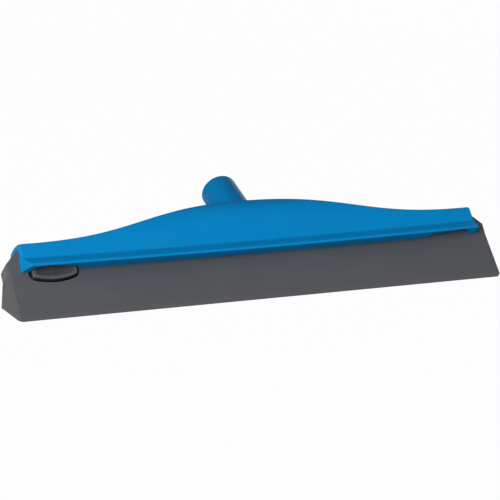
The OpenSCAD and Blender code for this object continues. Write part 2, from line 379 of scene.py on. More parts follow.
@dataclass(frozen=True)
class RubberFinish:
    """Matt soft rubber with a powdery bloom and fine drag lines along it, darkened by painted shade towards
    its top under the head's flange and less so near its ends.
    """

    name: str
    colour: Colour
    bloom: Colour
    # Painted shade: darker colour mixed in under the head's flange, standing in for the shade there.
    painted_shade: Colour
    painted_shade_share: float = 0.5
    # Painted shade: head levels, in mm, where it starts and where it is full.
    painted_shade_z: Point2 = (6.0, 41.0)
    # Painted shade: distances from the middle, in mm, where it is gone and where it is full.
    painted_shade_x: Point2 = (196.0, 140.0)
    bloom_scale: float = 30.0
    bloom_share: float = 0.65
    line_scale: Triple = (12.0, 420.0, 420.0)
    line_relief: float = 0.5
    dust_ends: Point2 = (0.42, 0.7)
    dust_share: float = 0.55
    speck_share: float = 0.5
    roughness: float = 0.62
    dust_swing: float = 0.12
    pore_swing: float = 0.08
    pore_scale: float = 1100.0
    pore_depth: float = 0.00004
    specular: float = 0.15

    def material(self) -> bpy.types.Material:
        """Returns the node material."""
        tree = ShaderTree(self.name)
        here = tree.place()
        bloom = tree.noise(here, self.bloom_scale, 5.0)
        lines = tree.noise(tree.stretched(self.line_scale), 1.0, 3.0)
        pores = tree.noise(here, self.pore_scale, 3.0)
        powder = bloom * self.bloom_share + lines * (1 - self.bloom_share)
        dust = tree.span(powder, self.dust_ends)
        speck = tree.blend(pores * self.speck_share, self.colour, self.bloom)
        dusty = tree.blend(dust * self.dust_share, speck, self.bloom)
        # Painted shade: grows towards the top, under the head's flange, and fades out near the ends.
        painted_shade_rise = tree.rising(here, self.painted_shade_z)
        outer, inner = (x * MM for x in self.painted_shade_x)
        inside = tree.span(tree.along(here).size(), (outer, inner))
        return tree.principled({
            # Painted shade darkens the dusty rubber towards the flange.
            "Base Color": tree.blend(painted_shade_rise * painted_shade_rise * inside * self.painted_shade_share, dusty, self.painted_shade),
            "Roughness": self.roughness + dust * self.dust_swing + (pores - 0.5) * self.pore_swing,
            "Specular IOR Level": self.specular,
            "Normal": tree.bump(pores + lines * self.line_relief, self.pore_depth),
        })


@dataclass(frozen=True)
class GlossFinish:
    """Polished dark plastic: thumb-worn haze, a painted highlight that lightens its rim, and painted shade
    that darkens the gap around it.
    """

    name: str
    colour: Colour
    haze: Colour
    # Painted highlight: lighter grey for the rim, standing in for light on its lower slope and sides.
    rim_highlight: Colour
    middle: Point2
    half: Point2
    sag: float
    rim: Point2 = (1.8, 3.6)
    # Painted highlight: its least share and its uneven swing.
    rim_highlight_share: Point2 = (0.75, 0.5)
    # Painted shade: distances from the button's edge, in mm, where the gap's darkening is full and where it
    # ends.
    gap: Point2 = (-0.2, 0.7)
    # Painted shade: near-black for the gap round the button, standing in for the shadow there.
    gap_shade: Colour = (0.006, 0.006, 0.007)
    haze_share: float = 0.5
    worn_scale: float = 160.0
    fine_scale: Triple = (500.0, 2600.0, 2600.0)
    fine_depth: float = 0.00001
    roughness: float = 0.26
    worn_swing: float = 0.16
    fine_swing: float = 0.06
    rim_roughness_swing: float = 0.3
    specular: float = 0.5
    coat: float = 0.6
    coat_loss: float = 0.5
    coat_roughness: float = 0.2

    def from_edge(self, tree: ShaderTree, here: Value) -> Value:
        """Returns how far inside the button's sides and curved bottom edge a place lies, in mm.

        Args:
            tree: The material's nodes.
            here: The place on the button.

        Returns:
            The distance, below 0 on the keeper flange in the gap around the button.
        """
        across = (tree.along(here) * (1 / MM) - self.middle[0]) * (1 / self.half[0])
        height = (tree.height(here) - STAND.height(self.middle[1])) * (1 / MM)
        across_square = across * across
        from_bottom = height + self.half[1] - across_square * self.sag
        return from_bottom.least((1 - across_square) * (self.half[0] / 2))

    def material(self) -> bpy.types.Material:
        """Returns the node material."""
        tree = ShaderTree(self.name)
        here = tree.place()
        worn = tree.noise(here, self.worn_scale, 4.0)
        fine = tree.noise(tree.stretched(self.fine_scale), 1.0, 2.0)
        hazed = tree.blend(worn * self.haze_share, self.colour, self.haze)
        distance = self.from_edge(tree, here)
        least, swing = self.rim_highlight_share
        # Painted highlight: lightens the rim round the button's bottom and sides, unevenly.
        share = (1 - tree.span(distance, self.rim)) * (least + worn * swing)
        # Painted shade: darkens the keeper flange in the gap and the rim's outer edge.
        gap_shaded = 1 - tree.span(distance, self.gap)
        uneven = (worn - 0.5) * self.worn_swing + (fine - 0.5) * self.fine_swing
        return tree.principled({
            "Base Color": tree.blend(gap_shaded, tree.blend(share, hazed, self.rim_highlight), self.gap_shade),
            "Roughness": self.roughness + uneven + share * self.rim_roughness_swing,
            "Specular IOR Level": self.specular,
            "Coat Weight": (self.coat - share * self.coat_loss) * (1 - gap_shaded),
            "Coat Roughness": self.coat_roughness,
            "Normal": tree.bump(fine + worn, self.fine_depth),
        })


@dataclass(frozen=True)
class SteelFinish:
    """Rolled stainless strip with lengthwise brushing."""

    name: str
    colour: Colour
    dark: Colour
    roughness: float = 0.32
    brush_swing: float = 0.2
    brush_scale: Triple = (60.0, 3200.0, 3200.0)
    brush_depth: float = 0.00001
    brush_share: float = 0.3
    stain_scale: float = 240.0
    stain_share: float = 0.4

    def material(self) -> bpy.types.Material:
        """Returns the node material."""
        tree = ShaderTree(self.name)
        brush = tree.noise(tree.stretched(self.brush_scale), 1.0, 3.0)
        stain = tree.noise(tree.place(), self.stain_scale, 3.0)
        tarnish = stain * self.stain_share + brush * self.brush_share
        return tree.principled({
            "Base Color": tree.blend(tarnish, self.colour, self.dark),
            "Metallic": 1.0,
            "Roughness": self.roughness + (brush - 0.5) * self.brush_swing,
            "Normal": tree.bump(brush, self.brush_depth),
        })


class Workpiece:
    """A mesh in head millimetres on its way to one named object."""

    def __init__(self, name: str) -> None:
        """Starts an empty mesh."""
        self.name = name
        self.bm: BMesh = bmesh.new()

    def prism(self, outline: Iterable[Sequence[float]], way: Sequence[float]) -> list[BMFace]:
        """Extrudes a flat outline.

        Args:
            outline: Its corners in order.
            way: The vector that it is extruded along.

        Returns:
            The faces of the new solid.
        """
        corners = [self.bm.verts.new(place) for place in outline]
        base = self.bm.faces.new(corners)
        made = bmesh.ops.extrude_face_region(self.bm, geom=[base], use_keep_orig=True)["geom"]
        moved = [part for part in made if isinstance(part, BMVert)]
        bmesh.ops.translate(self.bm, vec=Vector(way), verts=moved)
        faces = [part for part in made if isinstance(part, BMFace)]
        sides = {face for vert in corners + moved for face in vert.link_faces}
        solid = list(sides | set(faces))
        bmesh.ops.recalc_face_normals(self.bm, faces=solid)
        return solid

    def edges(self, test: EdgeTest) -> list[BMEdge]:
        """Returns the edges that pass a test."""
        return [edge for edge in self.bm.edges if test(edge)]

    def sharp(self, degrees: float) -> list[BMEdge]:
        """Returns the edges whose faces turn by more than an angle."""
        limit = math.radians(degrees)
        return self.edges(lambda edge: edge.is_manifold and edge.calc_face_angle(0.0) > limit)

    def round(self, edges: Iterable[BMEdge], width: float, segments: int) -> None:
        """Rounds edges with a bevel.

        Args:
            edges: What is rounded.
            width: The bevel's reach in millimetres.
            segments: Its steps.
        """
        bmesh.ops.bevel(
            self.bm, geom=list(edges), offset=width, offset_type="OFFSET", affect="EDGES",
            segments=segments, profile=0.5, material=-1, clamp_overlap=True)

    def slice(
            self, place: Sequence[float], normal: Sequence[float],
            faces: Iterable[BMFace] | None = None) -> None:
        """Cuts faces along a plane.

        Args:
            place: A point on the plane.
            normal: The plane's normal.
            faces: What is cut; the whole piece if none are given.
        """
        if faces is None:
            parts = [*self.bm.verts, *self.bm.edges, *self.bm.faces]
        else:
            parts = list({part for face in faces for part in (*face.verts, *face.edges, face)})
        bmesh.ops.bisect_plane(self.bm, geom=parts, dist=ON_PLANE, plane_co=place, plane_no=normal)

    def mesh(self) -> bpy.types.Mesh:
        """Returns the mesh and frees the workpiece."""
        bmesh.ops.recalc_face_normals(self.bm, faces=self.bm.faces)
        data = bpy.data.meshes.new(self.name)
        self.bm.to_mesh(data)
        self.bm.free()
        return data

    def tool(self) -> bpy.types.Object:
        """Returns the workpiece as a loose object in head millimetres."""
        thing = bpy.data.objects.new(self.name, self.mesh())
        link(thing)
        return thing

    def cut(self, tool: "Workpiece", action: Cut) -> None:
        """Joins a tool solid to this one or takes it away.

        Args:
            tool: The other solid, which is used up.
            action: What is done.
        """
        other = tool.tool()
        own = self.tool()
        modifier = own.modifiers.new("cut", "BOOLEAN")
        modifier.operation = action.value
        modifier.solver = "EXACT"
        modifier.object = other
        seen = own.evaluated_get(bpy.context.evaluated_depsgraph_get())
        self.bm = bmesh.new()
        self.bm.from_mesh(seen.to_mesh())
        seen.to_mesh_clear()
        for thing in (own, other):
            data = thing.data
            bpy.data.objects.remove(thing)
            bpy.data.meshes.remove(data)
        bmesh.ops.remove_doubles(self.bm, verts=self.bm.verts, dist=CUT_WELD)

    def finish(
            self, body: Body, slot: Slot, material: bpy.types.Material,
            smooth: float = 32.0) -> bpy.types.Object:
        """Puts the workpiece in its place as an object of the part.

        Args:
            body: The body that it rides on.
            slot: The record's slot of its finish; not used.
            material: Its material.
            smooth: Angle in degrees under which edges are shaded smooth.

        Returns:
            The object, at the origin.
        """
        bmesh.ops.transform(self.bm, matrix=STAND.matrix(), verts=self.bm.verts)
        data = self.mesh()
        data.materials.clear()
        data.materials.append(material)
        for polygon in data.polygons:
            polygon.use_smooth = True
            polygon.material_index = 0
        data.set_sharp_from_angle(angle=math.radians(smooth))
        thing = bpy.data.objects.new(self.name, data)
        link(thing)
        even = thing.modifiers.new("even_normals", "WEIGHTED_NORMAL")
        even.keep_sharp = True
        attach(thing, body.value)
        LOG.info("%s: %d faces on %s", self.name, len(data.polygons), body.value)
        return thing


@dataclass
class HandleSocket:
    """Round stub that leans back from the crest and takes a threaded handle."""

    radius: float = 14.5
    core_radius: float = 10.8
    root_radius: float = 11.9
    depth: float = 36.0
    lean: float = 32.4
    foot_z: float = 60.0
    reach: float = 65.0
    drain_radius: float = 4.5
    drain_break: float = 0.6
    floor_break: float = 1.0
    rim_round: float = 0.9
    rim_steps: int = 4
    lead: float = 0.9
    over: float = 1.0
    pitch: float = 4.2
    turns: int = 6
    thread_start: float = 3.0
    thread_sink: float = 0.15
    tooth_half: Point2 = (1.25, 0.45)
    steps: int = 96

    def matrix(self) -> Matrix:
        """Returns the matrix from the socket's own axis to the head."""
        turn = Matrix.Rotation(math.radians(-self.lean), 4, "X")
        return Matrix.Translation((0.0, 0.0, self.foot_z)) @ turn

    def turned(self, name: str, outline: Sequence[Point2]) -> Workpiece:
        """Spins an outline round the socket's axis.

        Args:
            name: The piece's name.
            outline: Radius and height of its corners, from the axis out and back to the axis.

        Returns:
            The closed solid.
        """
        piece = Workpiece(name)
        verts = [piece.bm.verts.new((radius, 0.0, height)) for radius, height in outline]
        edges = [piece.bm.edges.new(pair) for pair in zip(verts, verts[1:])]
        bmesh.ops.spin(
            piece.bm, geom=verts + edges, cent=(0, 0, 0), axis=(0, 0, 1), angle=math.tau,
            steps=self.steps, use_merge=True)
        bmesh.ops.remove_doubles(piece.bm, verts=piece.bm.verts, dist=WELD)
        bmesh.ops.recalc_face_normals(piece.bm, faces=piece.bm.faces)
        bmesh.ops.transform(piece.bm, matrix=self.matrix(), verts=piece.bm.verts)
        return piece

    def stub(self) -> Workpiece:
        """Returns the outside of the socket with its rounded rim."""
        quarter = [math.pi / 2 * step / self.rim_steps for step in range(self.rim_steps + 1)]
        arc = [
            (self.radius - self.rim_round * (1 - math.cos(turn)),
             self.reach - self.rim_round * (1 - math.sin(turn)))
            for turn in quarter]
        return self.turned("stub", [(0.0, 0.0), (self.radius, 0.0), *arc, (0.0, self.reach)])

    def bore(self) -> Workpiece:
        """Returns the solid that is taken out for the bore, with a lead-in at its mouth."""
        floor = self.reach - self.depth
        start = self.radius / 2
        mouth = self.root_radius + self.lead
        return self.turned("bore", [
            (0.0, start), (self.drain_radius, start), (self.drain_radius, floor - self.drain_break),
            (self.drain_radius + self.drain_break, floor), (self.root_radius - self.floor_break, floor),
            (self.root_radius, floor + self.floor_break), (self.root_radius, self.reach - self.lead),
            (mouth, self.reach), (mouth, self.reach + self.over), (0.0, self.reach + self.over)])

    def thread(self) -> Workpiece:
        """Returns the coarse handle thread on the bore's wall."""
        piece = Workpiece("handle_thread")
        root = self.root_radius + self.thread_sink
        start = self.reach - self.depth + self.thread_start
        wide, narrow = self.tooth_half
        tooth = ((root, -wide), (self.core_radius, -narrow), (self.core_radius, narrow), (root, wide))
        verts = [piece.bm.verts.new((radius, 0.0, start + height)) for radius, height in tooth]
        face = piece.bm.faces.new(verts)
        bmesh.ops.spin(
            piece.bm, geom=[face], cent=(0, 0, 0), axis=(0, 0, 1), angle=math.tau * self.turns,
            dvec=(0, 0, self.pitch / self.steps), steps=self.steps * self.turns)
        bmesh.ops.remove_doubles(piece.bm, verts=piece.bm.verts, dist=WELD)
        bmesh.ops.transform(piece.bm, matrix=self.matrix(), verts=piece.bm.verts)
        return piece


@dataclass
class HeadMoulding:
    """Blue head: walls, flanges, crest, cassette slot, latch pockets and handle socket in one piece."""

    length: float = 378.0
    wall_y: float = 14.2
    ridge_y: float = 20.3
    flange_z: float = 40.6
    flange_edge: float = 1.3
    flange_lip: float = 0.8
    flange_bow: float = 1.5
    crease_z: float = 49.0
    shoulder_z: float = 61.2
    crown_y: float = 10.0
    top_z: float = 65.2
    back_round: float = 3.9
    shoulder_round: float = 1.2
    crease_round: float = 0.7
    edge_round: float = 0.3
    lip_round: float = 0.15
    end_edge: float = 0.45
    slot_y: float = 7.3
    slot_top: float = 60.6
    groove_y: float = 9.3
    groove_z: Point2 = (52.4, 55.8)
    crest_half: float = 178.0
    crest_h: float = 21.6
    crest_flatten: float = 0.4
    crest_wall: float = 5.0
    hollow_part: float = 0.6
    hollow_steps: int = 24
    roll_part: float = 0.5
    roll_mid: float = 38.0
    roll_end: float = 6.0
    roll_gain: float = 0.43
    roll_cuts: int = 9
    end_r: float = 1.8
    drop_run: float = 5.0
    mitre: Point2 = (5.4, 3.6)
    rear_mitre: float = 2.0
    mitre_run: float = 14.0
    tongue: Point2 = (0.6, 2.5)
    corner_round: float = 1.4
    end_bulge: float = 1.5
    bulge_run: float = 60.0
    inner_bow: float = 0.7
    inner_margin: float = 1.0
    climb_min: float = 0.1
    face_margin: float = 0.5
    slice_margin: float = 0.3
    cuts: int = 94
    end_slices: tuple[float, ...] = (0.7, 1.0, 1.5, 2.4)
    top_slices: tuple[float, ...] = (-9.0, -4.0, 1.0, 6.0)
    over: float = 1.0
    pocket_x: Point2 = (-164.4, 165.5)
    pocket_w: float = 38.0
    pocket_front_w: float = 28.4
    pocket_bend: float = 1.5
    pocket_roof_r: float = 2.4
    pocket_d: Point2 = (12.1, 12.6)
    pocket_h: float = 4.6
    pocket_r: float = 6.0
    socket: HandleSocket = field(default_factory=HandleSocket)

    def bell(self, x: float) -> float:
        """Returns the crest's curve at x, from 0 at its feet to 1 in the middle."""
        if abs(x) >= self.crest_half:
            return 0.0
        wave = (1.0 + math.cos(math.pi * x / self.crest_half)) / 2.0
        return wave + self.crest_flatten * wave * (1 - wave) * (2 * wave - 1)

    def roll_depth(self, x: float) -> float:
        """Returns how far the front has rolled back at its top at x."""
        height = self.roll_part * (self.shoulder_z + self.crest_h * self.bell(x) - self.crease_z)
        angle = self.roll_end + (self.roll_mid - self.roll_end) * self.bell(x) ** 2
        return height * math.tan(math.radians(angle)) / 2.0

    def rise(self, x: float) -> float:
        """Returns the crest's height at x, with what its roll adds."""
        return self.crest_h * self.bell(x) + self.roll_gain * self.roll_depth(x)

    def bulge(self, x: float, y: float) -> float:
        """Returns how far the top stands up between its front and back edges near the ends."""
        near = max(0.0, 1 - (self.length / 2 - abs(x)) / self.bulge_run)
        span = (self.crown_y + self.wall_y) / 2
        across = (y - (self.crown_y - self.wall_y) / 2) / span
        return self.end_bulge * near * max(0.0, 1 - across ** 2)

    def corner_turn(self, x: float) -> float:
        """Returns how far the walls turn in over their rounded ends at x."""
        short = max(0.0, self.corner_round - (self.length / 2 - abs(x)))
        return self.corner_round - math.sqrt(self.corner_round ** 2 - short ** 2)

    def end_drop(self, x: float) -> float:
        """Returns the fall of the top over the rounded end at x."""
        inside = min(max(self.length / 2 - abs(x), 0.0), self.end_r)
        return self.end_r - math.sqrt(self.end_r ** 2 - (self.end_r - inside) ** 2)

    def slot_side(self) -> list[Point2]:
        """Returns the corners of one side of the cassette's slot above its mouth."""
        low, high = self.groove_z
        return [
            (self.slot_y, low), (self.groove_y, low), (self.groove_y, high), (self.slot_y, high),
            (self.slot_y, self.slot_top)]

    def section(self) -> list[Point2]:
        """Returns the corners of the head's section round its slot."""
        lip = (self.ridge_y, self.flange_z - self.flange_lip)
        inside = mirrored([lip, (self.slot_y, self.flange_z), *self.slot_side()])
        outside = [
            (-self.ridge_y, self.flange_z + self.flange_edge), (-self.wall_y, self.crease_z),
            (-self.wall_y, self.shoulder_z), (self.crown_y, self.top_z), (self.wall_y, self.top_z),
            (self.wall_y, self.crease_z), (self.ridge_y, self.flange_z + self.flange_edge)]
        return outside + inside

    def channel(self) -> Workpiece:
        """Returns the long moulding with its edges rounded and its crest raised."""
        piece = Workpiece("head_moulding")
        piece.prism([(-self.length / 2, y, z) for y, z in self.section()], (self.length, 0, 0))

        def along(y: float, z: float) -> EdgeTest:
            """Returns a test for the long edge through a section corner."""
            spot = Vector((y, z))
            return lambda edge: all((vert.co.yz - spot).length < NEAR for vert in edge.verts)

        piece.round(piece.edges(along(self.wall_y, self.top_z)), self.back_round, 9)
        piece.round(piece.edges(along(-self.wall_y, self.shoulder_z)), self.shoulder_round, 4)
        for side in (-1, 1):
            for y, z, width, segments in (
                    (self.wall_y, self.crease_z, self.crease_round, 3),
                    (self.ridge_y, self.flange_z + self.flange_edge, self.edge_round, 3),
                    (self.ridge_y, self.flange_z - self.flange_lip, self.lip_round, 2),
                    (self.slot_y, self.flange_z, self.edge_round, 2)):
                piece.round(piece.edges(along(side * y, z)), width, segments)
        half = self.length / 2
        ends = piece.edges(lambda edge: all(abs(vert.co.x) > half - NEAR for vert in edge.verts))
        piece.round(ends, self.end_edge, 3)
        self._raise_crest(piece)
        return piece

    def _raise_crest(self, piece: Workpiece) -> None:
        """Cuts the moulding across and lifts its top along the crest's curve."""
        half = self.length / 2
        long = piece.edges(lambda edge: abs(edge.verts[0].co.x - edge.verts[1].co.x) > half)
        bmesh.ops.subdivide_edges(piece.bm, edges=long, cuts=self.cuts, use_grid_fill=True)
        for inside in self.end_slices:
            for side in (-1, 1):
                piece.slice((side * (half - inside), 0, 0), (1, 0, 0))
        roof = self.slot_top + self.slice_margin
        for across in self.top_slices:
            top = [face for face in piece.bm.faces if all(vert.co.z > roof for vert in face.verts)]
            piece.slice((0, across, 0), (0, 1, 0), top)
        foot = self.shoulder_z - self.roll_part * (self.shoulder_z - self.crease_z)
        for step in range(self.roll_cuts):
            level = foot + (self.shoulder_z - self.shoulder_round - foot) * step / self.roll_cuts
            piece.slice((0, 0, level), (0, 0, 1))
        for vert in piece.bm.verts:
            vert.co = self._raised(vert.co)
        bmesh.ops.dissolve_degenerate(piece.bm, edges=piece.bm.edges, dist=0.005)

    def _raised(self, place: Vector) -> Vector:
        """Moves a point of the straight moulding to the crested one.

        Args:
            place: The point before the crest is raised.

        Returns:
            The point on the crest, with the flange's ends mitred.
        """
        x, y, z = place
        climb = (z - self.crease_z) / (self.shoulder_z - self.crease_z)
        outside = abs(y) > self.groove_y + self.inner_margin
        drop = self.end_drop(x) * held((z - self.shoulder_z) / self.drop_run + 1)
        top_share = held((self.crown_y - y) / (self.crown_y + self.wall_y))
        roll = max(0.0, min(climb, 1.0) - 1 + self.roll_part) / self.roll_part
        if z > self.slot_top + self.face_margin and not outside:
            z += self.rise(x) - drop + self.bulge(x, y)
            y += self.roll_depth(x) * top_share
        elif outside and climb > self.climb_min:
            z += self.rise(x) * min(climb, 1.0) - drop
            y -= math.copysign(self.corner_turn(x), y)
            y += self.roll_depth(x) * roll ** 2 if y < 0 else 0.0
        elif z < self.crease_z:
            reach = held((abs(y) - self.wall_y) / (self.ridge_y - self.wall_y))
            low = (self.crease_z - z) / (self.crease_z - self.flange_z) if y < 0 else 0.0
            near = max(0.0, 1 - (self.length / 2 - abs(x)) / self.mitre_run)
            end = 1 if x > 0 else 0
            mitre = self.mitre[end] if y < 0 else self.rear_mitre
            inward = mitre * reach - self.tongue[end] * low
            x -= math.copysign(1.0, x) * inward * near
        bottom = z < self.flange_z + self.face_margin or (outside and climb <= self.climb_min)
        if y < 0 and bottom:
            share = 1.0 if outside else self.inner_bow
            z -= share * self.flange_bow * max(0.0, 1 - (2 * x / self.length) ** 2)
        return Vector((x, y, z))

    def pocket(self, x: float, deep: float) -> Workpiece:
        """Returns the solid that is taken out for one latch pocket.

        Args:
            x: The pocket's middle.
            deep: How far it reaches forward from the slot.

        Returns:
            The solid, with a leaning front and a rounded roof.
        """
        piece = Workpiece("pocket")
        back, front = -self.slot_y + self.over, -self.slot_y - deep
        bend = -self.slot_y - self.pocket_bend
        half = [(self.pocket_w / 2, back), (self.pocket_w / 2, bend), (self.pocket_front_w / 2, front)]
        foot = self.flange_z - self.over
        outline = [(x + across, y, foot) for across, y in mirrored(half)]
        piece.prism(outline, (0, 0, self.pocket_h + self.over))

        def front_corner(edge: BMEdge) -> bool:
            """Tests for the two upright edges at the pocket's front."""
            first, second = (vert.co for vert in edge.verts)
            return abs(first.z - second.z) > SLACK and max(first.y, second.y) < front + SLACK

        piece.round(piece.edges(front_corner), self.pocket_r, 8)
        lean = (self.ridge_y - self.wall_y) / (self.crease_z - self.flange_z - self.flange_edge)
        for vert in piece.bm.verts:
            depth = max(0.0, -self.slot_y - vert.co.y) / deep
            vert.co.y += depth * lean * max(0.0, vert.co.z - self.flange_z)
        top = self.flange_z + self.pocket_h - SLACK
        roof = piece.edges(lambda edge: min(vert.co.y for vert in edge.verts) < back - SLACK and all(
            vert.co.z > top for vert in edge.verts))
        piece.round(roof, self.pocket_roof_r, 5)
        return piece

    def hollow(self) -> Workpiece:
        """Returns the solid that is taken out under the crest."""
        piece = Workpiece("hollow")
        reach = self.crest_half * self.hollow_part
        places = [reach * (2 * step / self.hollow_steps - 1) for step in range(self.hollow_steps + 1)]
        inside = self.wall_y - self.crest_wall
        spring = self.shoulder_z - self.crest_wall
        roof = [
            (x, inside, spring + self.crest_h * self.bell(x) - self.roll_depth(x)) for x in places]
        foot = [(x, inside, self.slot_top - self.over) for x in (reach, -reach)]
        piece.prism([*roof, *foot], (0, -2 * inside, 0))
        return piece

    def slot_again(self) -> Workpiece:
        """Returns the solid that clears the cassette's slot under the socket."""
        piece = Workpiece("slot")
        outline = mirrored([(self.slot_y, self.flange_z - self.over), *self.slot_side()])
        width = self.socket.radius + 2 * self.over
        piece.prism([(-width, y, z) for y, z in outline], (2 * width, 0, 0))
        return piece

    def build(self, material: bpy.types.Material) -> None:
        """Builds and dresses the head and its thread."""
        piece = self.channel()
        piece.cut(self.socket.stub(), Cut.JOIN)
        piece.cut(self.hollow(), Cut.REMOVE)
        piece.cut(self.slot_again(), Cut.REMOVE)
        piece.cut(self.socket.bore(), Cut.REMOVE)
        for x, deep in zip(self.pocket_x, self.pocket_d):
            piece.cut(self.pocket(x, deep), Cut.REMOVE)
        head = piece.finish(Body.HEAD, Slot.HEAD, material)
        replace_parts(head, "frame")
        self.socket.thread().finish(Body.HEAD, Slot.HEAD, material)


@dataclass
class LockButton:
    """Dark thumb button with a raised rim, a dished face and a keeper flange."""

    x: float = -164.8
    z: float = 38.1
    width: float = 35.4
    height: float = 12.0
    sag: float = 3.4
    face_y: float = -10.4
    flange_front_y: float = -3.5
    back_y: float = -2.3
    flange_reach: float = 2.75
    corner_r: float = 2.2
    top_r: float = 4.0
    rim_round: float = 0.8
    rim: float = 3.0
    dish: float = 1.6
    dish_ends: int = 4
    dish_rise: float = 0.7
    arc_steps: int = 8
    grid: float = 1.2

    def outline(self, margin: float) -> list[Point2]:
        """Returns the button's outline in X and Z, grown by a margin."""
        bow = ((self.width / 2) ** 2 + self.sag ** 2) / (2 * self.sag)
        half, radius = self.width / 2 + margin, bow + margin
        centre = bow - self.height / 2
        turn = math.asin(half / radius)
        arc = []
        for step in range(self.arc_steps + 1):
            angle = turn * (2 * step / self.arc_steps - 1)
            arc.append((self.x + radius * math.sin(angle), self.z + centre - radius * math.cos(angle)))
        top = self.z + self.height / 2 + margin
        return [*arc, (self.x + half, top), (self.x - half, top)]

    def plug(self, name: str, margin: float, front: float, back: float) -> Workpiece:
        """Extrudes the button's outline from front to back.

        Args:
            name: The piece's name.
            margin: What the outline is grown by.
            front: Y of its front.
            back: Y of its back.

        Returns:
            The solid, with its four corners rounded.
        """
        piece = Workpiece(name)
        outline = self.outline(margin)
        piece.prism([(x, back, z) for x, z in outline], (0, front - back, 0))
        depth = abs(front - back)

        def upright(index: int) -> EdgeTest:
            """Returns a test for the edge that runs front to back at a corner of the outline."""
            corner = Vector(outline[index])
            return lambda edge: (edge.verts[0].co.xz - corner).length < NEAR and (
                abs(edge.verts[0].co.y - edge.verts[1].co.y) > depth / 2)

        for picks, radius in (((0, self.arc_steps), self.corner_r), ((-1, -2), self.top_r)):
            corners = [edge for index in picks for edge in piece.edges(upright(index))]
            piece.round(corners, radius + margin, 6)
        return piece

    def build(self, material: bpy.types.Material) -> None:
        """Builds and dresses the button."""
        piece = self.plug("thumb_button", 0.0, self.face_y, self.back_y)
        self._dish(piece)
        piece.cut(self.plug("flange", self.flange_reach, self.flange_front_y, self.back_y), Cut.JOIN)
        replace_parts(piece.finish(Body.BUTTON, Slot.BUTTON, material, 40.0), "lock_button")

    def _dish(self, piece: Workpiece) -> None:
        """Rounds the rim of the face and hollows the face inside it."""
        face = min(piece.bm.faces, key=lambda one: one.calc_center_median().y)
        piece.round(list(face.edges), self.rim_round, 5)
        face = min(piece.bm.faces, key=lambda one: one.calc_center_median().y)
        bmesh.ops.inset_region(
            piece.bm, faces=[face], thickness=self.rim - self.rim_round, use_even_offset=True)
        for axis, middle, half in ((0, self.x, self.width / 2), (2, self.z, self.height / 2)):
            count = int(2 * half / self.grid)
            for step in range(1, count):
                place, normal = [0.0, self.face_y, 0.0], [0.0, 0.0, 0.0]
                place[axis] = middle - half + 2 * half * step / count
                normal[axis] = 1.0
                piece.slice(place, normal, [one for one in piece.bm.faces if self._is_thumb_face(one)])
        for vert in {vert for one in piece.bm.faces if self._is_thumb_face(one) for vert in one.verts}:
            across = (vert.co.x - self.x) / (self.width / 2 - self.rim)
            lift = self.sag * ((vert.co.x - self.x) / (self.width / 2)) ** 2
            room = self.height - lift - 2 * self.rim
            up = (vert.co.z - self.z + self.height / 2 - lift - self.rim) / room
            fall = 1 - (1 - held(up)) ** 2
            vert.co.y += self.dish * max(0.0, 1.0 - across ** self.dish_ends) * fall ** self.dish_rise

    def _is_thumb_face(self, face: BMFace) -> bool:
        """Tests whether a face lies flat in the button's front, inside its rim."""
        flat = all(abs(vert.co.y - self.face_y) < 0.001 for vert in face.verts)
        middle = face.calc_center_bounds()
        inside = abs(middle.x - self.x) < self.width / 2 - self.rim
        return flat and inside and abs(middle.z - self.z) < self.height / 2


